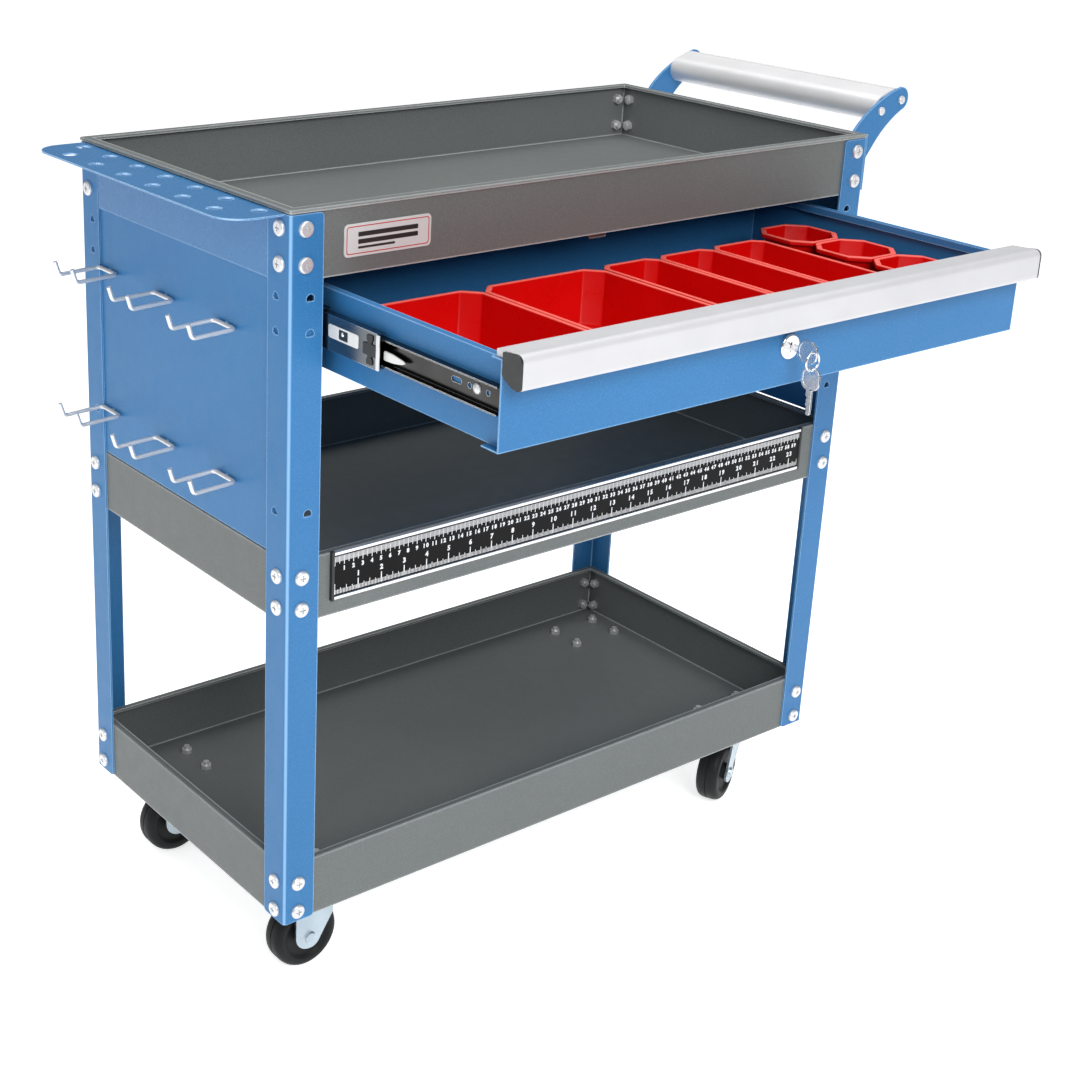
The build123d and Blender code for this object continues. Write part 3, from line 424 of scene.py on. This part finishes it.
def axes_at(origin, x_axis, y_axis):
    """Matrix that puts local X and Y along two directions at a point."""
    x = Vector(x_axis).normalized()
    y = Vector(y_axis).normalized()
    z = x.cross(y)
    matrix = Matrix((x, y, z)).transposed().to_4x4()
    matrix.translation = Vector(origin)
    return matrix


def facing_front(origin):
    """Matrix of a plane that faces the front: local X to the handle end, local Y up."""
    return axes_at(origin, (1, 0, 0), (0, 0, 1))


def circle(radius, centre, steps):
    """Closed outline of a circle."""
    turns = [2 * math.pi * i / steps for i in range(steps)]
    return [(centre[0] + radius * math.cos(t), centre[1] + radius * math.sin(t)) for t in turns]


def rounded(width, height, radius, centre=(0, 0), steps=5):
    """Closed outline of a rectangle with round corners."""
    points = []
    corners = ((1, 1, 0), (-1, 1, 90), (-1, -1, 180), (1, -1, 270))
    for side_x, side_y, start in corners:
        for i in range(steps + 1):
            t = math.radians(start + 90 * i / steps)
            x = side_x * (width / 2 - radius) + radius * math.cos(t)
            y = side_y * (height / 2 - radius) + radius * math.sin(t)
            points.append((centre[0] + x, centre[1] + y))
    return points


def soften(points, radius, steps=4):
    """Rounds each corner of a closed outline with a short curve."""
    result = []
    count = len(points)
    for i, corner in enumerate(points):
        corner = Vector(corner)
        before = Vector(points[i - 1]) - corner
        after = Vector(points[(i + 1) % count]) - corner
        reach = min(radius, before.length * 0.45, after.length * 0.45)
        start = corner + before.normalized() * reach
        end = corner + after.normalized() * reach
        for k in range(steps + 1):
            t = k / steps
            point = start * (1 - t) ** 2 + corner * 2 * t * (1 - t) + end * t * t
            result.append((point.x, point.y))
    return result


def in_metres(points, about=(0, 0), shrink=1.0):
    """Outline in metres from millimetres, drawn in towards a point by a factor."""
    return [((about[0] + (x - about[0]) * shrink) * MM, (about[1] + (y - about[1]) * shrink) * MM)
            for x, y in points]


def join(name, meshes):
    """One mesh from several."""
    bm = bmesh.new()
    for mesh in meshes:
        bm.from_mesh(mesh)
        bpy.data.meshes.remove(mesh)
    mesh = bpy.data.meshes.new(name)
    bm.to_mesh(mesh)
    bm.free()
    return mesh


# ---------------------------------------------------------------- bins

BIN_RIM_LIP = 2.2 * MM
BIN_RIM_DROP = 4.5 * MM
BIN_WALL = 1.6 * MM
BIN_CORNER_RADIUS = 1.4 * MM
BIN_PITCH = 72 * MM
# Node, number of bins, axis they stand along, and each bin's corner cut and wall taper in millimetres.
BIN_SETS = (
    ("large_bin_left", 1, 0, 14, 6),
    ("large_bin_right", 1, 0, 14, 6),
    ("narrow_bins", 3, 0, 9, 4),
    ("small_bins", 3, 1, 16, 5),
)


def octagon(centre, width, depth, cut, z):
    """Ring of a rectangle with its corners cut off and slightly rounded."""
    w = width / 2
    d = depth / 2
    corners = [
        (-w + cut, -d), (w - cut, -d), (w, -d + cut), (w, d - cut),
        (w - cut, d), (-w + cut, d), (-w, d - cut), (-w, -d + cut),
    ]
    return [Vector((centre.x + x, centre.y + y, z)) for x, y in soften(corners, BIN_CORNER_RADIUS)]


def bin_mesh(name, box_low, box_high, cut, taper):
    """Thin moulded bin: tapered walls with cut corners, a rim turned out and down, a rounded floor edge."""
    low = box_low.z
    top = box_high.z
    centre = (box_low + box_high) / 2
    width, depth, height = box_high - box_low
    lip = BIN_RIM_LIP
    wall = BIN_WALL

    def narrow_at(z):
        """How far the outer wall stands in from the rim at a height."""
        return lip + (taper - lip) * (top - z) / height

    under_rim = top - BIN_RIM_DROP
    inner_low = low + wall
    # Heights, each with how far in from the rim: up the outside, over the rim and down the inside.
    levels = [
        (low, taper + 2.2 * MM),
        (low + 0.7 * MM, taper + 0.8 * MM),
        (low + 2.4 * MM, narrow_at(low + 2.4 * MM)),
        (under_rim, narrow_at(under_rim)),
        (under_rim, 0.5 * MM),
        (under_rim + 0.4 * MM, 0),
        (top - 0.8 * MM, 0),
        (top - 0.2 * MM, 0.25 * MM),
        (top, 0.8 * MM),
        (top, lip + wall - 0.8 * MM),
        (top - 0.25 * MM, lip + wall - 0.2 * MM),
        (top - 1.0 * MM, lip + wall),
        (inner_low + 3.0 * MM, narrow_at(inner_low) + wall),
        (inner_low + 0.8 * MM, narrow_at(inner_low) + wall + 1.0 * MM),
        (inner_low, narrow_at(inner_low) + wall + 3.0 * MM),
    ]
    bm = bmesh.new()
    rings = [octagon(centre, width - 2 * inset, depth - 2 * inset, cut, z) for z, inset in levels]
    skin(bm, rings, ends="capped")
    return mesh_of(bm, name)


def split_box(node, count, axis):
    """Boxes of the equal solids in a node, a bin pitch apart along an axis."""
    low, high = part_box(node)
    size = high - low
    size[axis] -= (count - 1) * BIN_PITCH
    for i in range(count):
        start = low.copy()
        start[axis] += i * BIN_PITCH
        yield start, start + size


def make_bins():
    """Eight bins in place of the four bin nodes."""
    for node, count, axis, cut, taper in BIN_SETS:
        for i, (low, high) in enumerate(split_box(node, count, axis)):
            name = f"{node}_shell_{i + 1}"
            mesh = bin_mesh(name, low, high, cut * MM, taper * MM)
            add_piece(name, mesh, "red", "drawer", replaces=[node])


# ---------------------------------------------------------------- wheels

# Radius and distance from the wheel's middle plane, in millimetres, from the bore out to the moulding line.
WHEEL_SIDE = [
    (4.3, 13.4), (8.2, 13.4), (8.9, 12.9), (9.4, 9.6), (10.6, 8.8), (21.6, 8.8), (23.2, 9.4),
    (25.0, 12.0), (26.2, 12.45), (29.4, 12.45), (31.4, 11.9), (33.2, 10.4), (34.4, 8.2), (34.9, 6.0),
    (35.0, 3.0), (35.0, 0.7), (34.2, 0.35),
]
BEARING_CAP = [
    (4.25, 13.45), (7.6, 13.45), (7.9, 13.7), (7.6, 13.95), (6.4, 14.05), (5.6, 13.8), (4.25, 13.8),
]


def make_wheels():
    """Turned wheels with a moulding line, recessed sides, a raised hub and a pressed bearing cap."""
    wheel = [(radius, -along) for radius, along in WHEEL_SIDE] + WHEEL_SIDE[::-1]
    for joint in frame["joints"]:
        if not joint["name"].endswith("_roll"):
            continue
        body = joint["child"]
        corner = body.removeprefix("roll_")
        centre = Vector(joint["pos_m"])
        axis = Vector(joint["axis"])
        bm = bmesh.new()
        turned(bm, in_metres(wheel), centre, axis)
        mesh = mesh_of(bm, f"tyre_{corner}")
        add_piece(f"tyre_{corner}", mesh, "tyre", body, replaces=[f"wheel_{corner}"])
        bm = bmesh.new()
        for side in (-1, 1):
            cap = [(radius, side * along) for radius, along in BEARING_CAP]
            turned(bm, in_metres(cap), centre, axis, steps=48)
        mesh = mesh_of(bm, f"bearing_caps_{corner}")
        add_piece(f"bearing_caps_{corner}", mesh, "zinc", body)


# ---------------------------------------------------------------- ruler

RULER_ZERO = LEFT + 49.4 * MM
RULER_END_MARGIN = 1.5 * MM
RULER_CENTIMETRES = 60
RULER_INCHES = 24
INCH_PARTS = 16
PRINT_THICKNESS = 0.05 * MM
PRINT_LIFT = 0.06 * MM
# For every so many ticks, the tick's length and width in millimetres. The first that divides applies.
CENTIMETRE_TICKS = ((10, 8.5, 0.7), (5, 7, 0.7), (1, 5.2, 0.45))
INCH_TICKS = ((16, 10, 1.0), (8, 7, 0.62), (4, 5.5, 0.62), (1, 4, 0.62))
CENTIMETRE_TOP_GAP = 1.2 * MM
CENTIMETRE_DIGIT = 5.4 * MM
CENTIMETRE_SPACING = 3.7 * MM
CENTIMETRE_DROP = 12.4 * MM
INCH_FOOT_GAP = 1.4 * MM
INCH_DIGIT = 6.6 * MM
INCH_SPACING = 4.6 * MM
INCH_RISE = 14.6 * MM


def digit_meshes(size):
    """Meshes of the ten digits, centred, with a little thickness."""
    digits = {}
    for digit in "0123456789":
        text = bpy.data.curves.new(f"digit_{digit}", "FONT")
        text.body = digit
        text.size = size
        text.align_x = "CENTER"
        text.align_y = "CENTER"
        text.extrude = PRINT_THICKNESS
        text.offset = 0.3 * MM
        text.resolution_u = 2
        digits[digit] = mesh_of_curve(text)
    return digits


def add_number(bm, digits, number, x, y, z, spacing):
    """Adds the digits of a number, centred on a point of the ruler's face."""
    text = str(number)
    for k, digit in enumerate(text):
        shift = (k - (len(text) - 1) / 2) * spacing
        glyph = digits[digit].copy()
        glyph.transform(facing_front((x + shift, y, z)))
        bm.from_mesh(glyph)
        bpy.data.meshes.remove(glyph)


def add_ticks(bm, count, pitch, kinds, end, y, edge, inwards):
    """Adds a scale's printed lines as thin raised bars, from one edge of the film inwards."""
    for i in range(count):
        x = RULER_ZERO + i * pitch
        if x > end:
            break
        length, width = next((length, width) for every, length, width in kinds if i % every == 0)
        size = (width * MM, PRINT_THICKNESS, length * MM, 1)
        centre = Vector((x, y, edge + inwards * length * MM / 2))
        bmesh.ops.create_cube(bm, size=1, matrix=Matrix.Translation(centre) @ Matrix.Diagonal(size))


def make_ruler_marks():
    """Centimetre scale along the top of the film and inch scale along its foot."""
    low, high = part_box("ruler_scale")
    y = low.y - PRINT_LIFT
    end = high.x - RULER_END_MARGIN
    top = high.z - CENTIMETRE_TOP_GAP
    foot = low.z + INCH_FOOT_GAP
    bm = bmesh.new()
    add_ticks(bm, RULER_CENTIMETRES * 10 + 1, MM, CENTIMETRE_TICKS, end, y, top, inwards=-1)
    add_ticks(bm, RULER_INCHES * INCH_PARTS, INCH / INCH_PARTS, INCH_TICKS, end, y, foot, inwards=1)
    centimetre_digits = digit_meshes(CENTIMETRE_DIGIT)
    inch_digits = digit_meshes(INCH_DIGIT)
    for i in range(1, RULER_CENTIMETRES):
        x = RULER_ZERO + i * 10 * MM
        add_number(bm, centimetre_digits, i, x, y, top - CENTIMETRE_DROP, CENTIMETRE_SPACING)
    for i in range(1, RULER_INCHES):
        x = RULER_ZERO + i * INCH
        add_number(bm, inch_digits, i, x, y, foot + INCH_RISE, INCH_SPACING)
    mesh = bpy.data.meshes.new("ruler_marks")
    bm.to_mesh(mesh)
    bm.free()
    add_piece("ruler_marks", mesh, "ink", "cart")


# ---------------------------------------------------------------- keys

# Outlines in millimetres, from the shoulder: the blade runs to +X and the bow to -X.
KEY_BOW = [
    (0.3, -3.2), (-1.2, -6.8), (-5, -9.6), (-14.5, -9.6), (-19, -6), (-20.3, -2.5),
    (-20.3, 2.5), (-19, 6), (-14.5, 9.6), (-5, 9.6), (-1.2, 6.8), (0.3, 3.2),
]
KEY_BOW_MIDDLE = (-9.5, 0)
KEY_PANEL_SHRINK = 0.78
KEY_BLADE = [
    (-1.5, 3.1), (-1.5, -3.1),
    (1.5, -3.2), (2.4, -2.5), (3.4, -3.1), (5.4, -3.1), (7.4, -1.2), (9.2, -2.4), (11, -1.6), (13, -2.9),
    (15.2, -1), (17.2, -2.3), (18.8, -0.6), (20.6, -1.3),
    (22, -0.4), (22, 1.4), (20.4, 3.1),
]
KEY_RIDGE = [(-1, 3.1), (-1, 1), (21, 1), (21.6, 1.8), (20.4, 3.1)]
KEY_HOLE_AT = (-16 * MM, 0)
KEY_HOLE_RADIUS = 2.6 * MM
KEY_CORNER = 1.2 * MM
KEY_THICK = 2.0 * MM
KEY_THIN = 1.3 * MM
KEY_SHOULDER = 20.5 * MM


def key_mesh(name, place):
    """Flat key with a bordered bow, a ring hole, toothed blade and a milled flute."""
    hole = circle(KEY_HOLE_RADIUS, KEY_HOLE_AT, steps=24)
    bow = soften(in_metres(KEY_BOW), KEY_CORNER)
    panel = soften(in_metres(KEY_BOW, KEY_BOW_MIDDLE, KEY_PANEL_SHRINK), KEY_CORNER)
    border = plate_mesh("border", [bow, panel], KEY_THICK, place, bevel=0.2 * MM)
    web = plate_mesh("web", [bow, hole], KEY_THIN, place)
    shank = plate_mesh("shank", [in_metres(KEY_BLADE)], KEY_THIN, place, bevel=0.1 * MM)
    ridge = plate_mesh("ridge", [in_metres(KEY_RIDGE)], KEY_THICK, place, bevel=0.15 * MM)
    return join(name, [border, web, shank, ridge])


def make_keys():
    """The key in the lock and the spare hanging from the ring."""
    low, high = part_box("key")
    place = axes_at((MIDDLE_X, low.y + KEY_SHOULDER, (low.z + high.z) / 2), (0, 1, 0), (0, 0, -1))
    add_piece("key_in_lock", key_mesh("key_in_lock", place), "key", "lock", replaces=["key"])
    low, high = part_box("spare_key")
    place = axes_at((MIDDLE_X, (low.y + high.y) / 2, high.z - KEY_SHOULDER), (0, 0, -1), (0, -1, 0))
    add_piece("key_on_ring", key_mesh("key_on_ring", place), "key", "spare", replaces=["spare_key"])


# ---------------------------------------------------------------- label

LABEL_CORNER = 4 * MM
LABEL_INK = 0.06 * MM
LABEL_INK_LIFT = 0.03 * MM
# The border's two outlines: how much smaller than the plate each is, and its corner radius.
LABEL_BORDER = ((4.4 * MM, 2.8 * MM), (6 * MM, 2.2 * MM))
# Across, up, width and height of each bar from the plate's middle, in millimetres.
LABEL_BARS = ((0, 4.6, 62, 4), (0, -1.6, 62, 4), (-12, -6.6, 38, 2))
LABEL_BAR_CORNER = 0.6 * MM


def make_label():
    """Name plate with a raised edge, a thin border and plain bars in place of a name."""
    low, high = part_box("label_plate")
    middle = (low + high) / 2
    width = high.x - low.x
    height = high.z - low.z
    outline = rounded(width, height, LABEL_CORNER)
    plate = plate_mesh("label_film", [outline], high.y - low.y, facing_front(middle), bevel=0.2 * MM)
    add_piece("label_film", plate, "label", "cart", replaces=["label_plate"])
    face = facing_front((middle.x, low.y - LABEL_INK_LIFT, middle.z))
    outlines = [rounded(width - less, height - less, radius) for less, radius in LABEL_BORDER]
    border = plate_mesh("label_border", outlines, LABEL_INK, face)
    add_piece("label_border", border, "label_red", "cart")
    bars = []
    for x, z, bar_width, bar_height in LABEL_BARS:
        outline = rounded(bar_width * MM, bar_height * MM, LABEL_BAR_CORNER, (x * MM, z * MM))
        bars.append(plate_mesh("bar", [outline], LABEL_INK, face))
    add_piece("label_bars", join("label_bars", bars), "black", "cart")


# ---------------------------------------------------------------- slide details

# Planes of the intermediate member's web and the drawer member's channel, in from the legs' outer faces.
SLIDE_WEB_IN = 35.8 * MM
SLIDE_CHANNEL_IN = 44.8 * MM
LEVER_IN = 40.6 * MM
SLIDE_MIDDLE_Z = 657.5
RETAINER_Z = 659.3
# Outlines in millimetres in a slide's side view: X towards the back, Y up.
LATCH_OUTLINE = [
    (4, -8), (2.5, -6.5), (2.5, -5), (9, -5), (9, 5), (2.5, 5), (2.5, 6.5), (4, 8), (4, 12.5), (-4, 12.5),
    (-4, 8), (-2.5, 6.5), (-2.5, 5), (-9, 5), (-13, 2.5), (-13, -2.5), (-9, -5), (-2.5, -5), (-2.5, -6.5),
    (-4, -8), (-4, -12.5), (4, -12.5),
]
LEVER_OUTLINE = [(-12, 3.6), (-25, 1.8), (-28, 0), (-24, -1.6), (-14, -3.4), (0, -4), (0, 4)]
BALL_RADIUS = 2.6 * MM
RIVET_RADIUS = 4.6 * MM
RIVET_HEIGHT = 2.2 * MM


def dome_profile(radius, height):
    """Profile of a low rivet head."""
    return [(0.01 * radius, 0), (radius, 0), (radius * 0.92, height * 0.45), (radius * 0.6, height * 0.85),
            (0.01 * radius, height)]


def make_slide_details(side, leg_x, inwards):
    """Ball retainer, ball, latch, stop, release lever and rivet of one drawer slide."""
    body = f"intermediate_{side}"

    def at(inset, y, z):
        """Plane facing sideways: local X towards the back, local Y up. Y and Z are in millimetres."""
        return axes_at((leg_x + inwards * inset, FRONT + y * MM, z * MM), (0, 1, 0), (0, 0, 1))

    def add(name, mesh, finish, on):
        """Adds one detail under this side's name."""
        add_piece(f"{name}_{side}", mesh, finish, on)

    retainer_outlines = [rounded(42 * MM, 11.5 * MM, 2 * MM), rounded(13 * MM, 8.5 * MM, 0.8 * MM)]
    retainer_at = at(SLIDE_WEB_IN - 0.25 * MM, -26, RETAINER_Z)
    retainer = plate_mesh("retainer", retainer_outlines, 0.5 * MM, retainer_at, bevel=0.1 * MM)
    add("ball_retainer", retainer, "white", body)

    window_at = at(SLIDE_WEB_IN - 0.1 * MM, -26, RETAINER_Z)
    window = plate_mesh("backing", [rounded(14 * MM, 9.5 * MM, 0.6 * MM)], 0.1 * MM, window_at)
    add("ball_window", window, "black", body)

    bm = bmesh.new()
    ball_at = Vector((leg_x + inwards * (SLIDE_WEB_IN + 1.4 * MM), FRONT - 24.5 * MM, 660 * MM))
    place = Matrix.Translation(ball_at)
    bmesh.ops.create_uvsphere(bm, u_segments=32, v_segments=16, radius=BALL_RADIUS, matrix=place)
    add("slide_ball", mesh_of(bm, f"slide_ball_{side}"), "chrome", body)

    latch_at = at(SLIDE_WEB_IN - 0.55 * MM, -63, SLIDE_MIDDLE_Z)
    latch_outline = soften(in_metres(LATCH_OUTLINE), 1.2 * MM)
    latch = plate_mesh("latch", [latch_outline], 1.0 * MM, latch_at, bevel=0.2 * MM)
    add("slide_latch", latch, "black", body)

    stop_at = at(SLIDE_WEB_IN - 0.6 * MM, -74.2, SLIDE_MIDDLE_Z)
    stop = plate_mesh("stop", [rounded(4 * MM, 29.4 * MM, 0.8 * MM)], 1.1 * MM, stop_at, bevel=0.15 * MM)
    add("slide_stop", stop, "bolt", body)

    lever_at = at(LEVER_IN, -76, 655.4)
    lever_outline = soften(in_metres(LEVER_OUTLINE), 1.6 * MM)
    lever = plate_mesh("lever", [lever_outline], 1.6 * MM, lever_at, bevel=0.3 * MM)
    add("release_lever", lever, "white", "drawer")

    bm = bmesh.new()
    rivet_at = Vector((leg_x + inwards * SLIDE_CHANNEL_IN, FRONT - 188 * MM, 658.4 * MM))
    turned(bm, dome_profile(RIVET_RADIUS, RIVET_HEIGHT), rivet_at, (-inwards, 0, 0), steps=40)
    add("slide_rivet", mesh_of(bm, f"slide_rivet_{side}"), "bolt", "drawer")


# ---------------------------------------------------------------- stage, light and camera

CAMERA_AT = (-1.1686, -1.2460, 1.0924)
CAMERA_YAW = -37.45
CAMERA_PITCH = -19.65
CAMERA_ROLL = 1.794
CAMERA_LENS = 61.2
CAMERA_SENSOR = 36
CAMERA_SHIFT = (0.1296, -0.1019)
FLOOR_HALF_SIZE = 14
LIGHTS_AIM = (0, 0, 0.45)
# Name, place, side of the square and power of each light.
LIGHTS = (
    ("key_light", (-0.9, -2.6, 2.4), 1.6, 72),
    ("side_light", (-2.6, 0.4, 1.6), 1.8, 12),
    ("top_light", (0.3, 0.3, 2.9), 2.2, 38),
)
SURROUND_LOW = (0.3, 0.3, 0.31, 1)
SURROUND_HIGH = (1, 1, 1, 1)
SURROUND_STRENGTH = 0.4


def make_camera():
    """Camera at the height and angle from which the object is seen."""
    data = bpy.data.cameras.new("camera")
    data.sensor_width = CAMERA_SENSOR
    data.lens = CAMERA_LENS
    data.shift_x, data.shift_y = CAMERA_SHIFT
    data.clip_start = 0.05
    camera = bpy.data.objects.new("camera", data)
    turn = Matrix.Rotation(math.radians(CAMERA_YAW), 4, "Z")
    tilt = Matrix.Rotation(math.radians(90 + CAMERA_PITCH), 4, "X")
    roll = Matrix.Rotation(math.radians(CAMERA_ROLL), 4, "Z")
    camera.matrix_world = Matrix.Translation(CAMERA_AT) @ turn @ tilt @ roll
    bpy.context.scene.collection.objects.link(camera)
    bpy.context.scene.camera = camera


def make_floor():
    """Pale floor that gives off a little light of its own."""
    bm = bmesh.new()
    bmesh.ops.create_grid(bm, x_segments=1, y_segments=1, size=FLOOR_HALF_SIZE)
    floor = bpy.data.objects.new("floor", mesh_of(bm, "floor"))
    bpy.context.scene.collection.objects.link(floor)
    pale = Shader(
        "pale_floor", Specular_IOR_Level=0.2, Roughness=0.6,
        Emission_Color=(1, 1, 1, 1), Emission_Strength=0.7,
    )
    pale.colour(pale.mix(pale.spread(pale.noise(scale=2)), (0.93, 0.93, 0.93), (0.95, 0.95, 0.95)))
    floor.data.materials.append(pale.material)


def make_surround():
    """White background behind an even studio surround that is darker low down."""
    world = bpy.data.worlds.new("studio")
    bpy.context.scene.world = world
    world.use_nodes = True
    nodes = world.node_tree.nodes
    links = world.node_tree.links
    position = nodes.new("ShaderNodeTexCoord")
    split = nodes.new("ShaderNodeSeparateXYZ")
    links.new(position.outputs["Generated"], split.inputs[0])
    ramp = nodes.new("ShaderNodeValToRGB")
    links.new(split.outputs["Z"], ramp.inputs["Fac"])
    low, high = ramp.color_ramp.elements
    low.position = 0.0
    low.color = SURROUND_LOW
    high.position = 0.75
    high.color = SURROUND_HIGH
    seen = nodes["Background"]
    seen.inputs["Color"].default_value = (1, 1, 1, 1)
    around = nodes.new("ShaderNodeBackground")
    around.inputs["Strength"].default_value = SURROUND_STRENGTH
    links.new(ramp.outputs["Color"], around.inputs["Color"])
    path = nodes.new("ShaderNodeLightPath")
    mix = nodes.new("ShaderNodeMixShader")
    links.new(path.outputs["Is Camera Ray"], mix.inputs["Fac"])
    links.new(around.outputs[0], mix.inputs[1])
    links.new(seen.outputs[0], mix.inputs[2])
    links.new(mix.outputs[0], nodes["World Output"].inputs["Surface"])


def make_lights():
    """Square area lights aimed at the middle of the object."""
    for name, place, size, watts in LIGHTS:
        data = bpy.data.lights.new(name, "AREA")
        data.shape = "SQUARE"
        data.size = size
        data.energy = watts
        light = bpy.data.objects.new(name, data)
        aim = Vector(LIGHTS_AIM) - Vector(place)
        light.matrix_world = Matrix.Translation(place) @ aim.to_track_quat("-Z", "Y").to_matrix().to_4x4()
        bpy.context.scene.collection.objects.link(light)


paint_frame()
make_bins()
make_wheels()
make_ruler_marks()
make_keys()
make_label()
make_slide_details("left", LEFT, inwards=1)
make_slide_details("right", RIGHT, inwards=-1)
make_camera()
make_floor()
make_surround()
make_lights()
bpy.context.scene.view_settings.view_transform = "Standard"
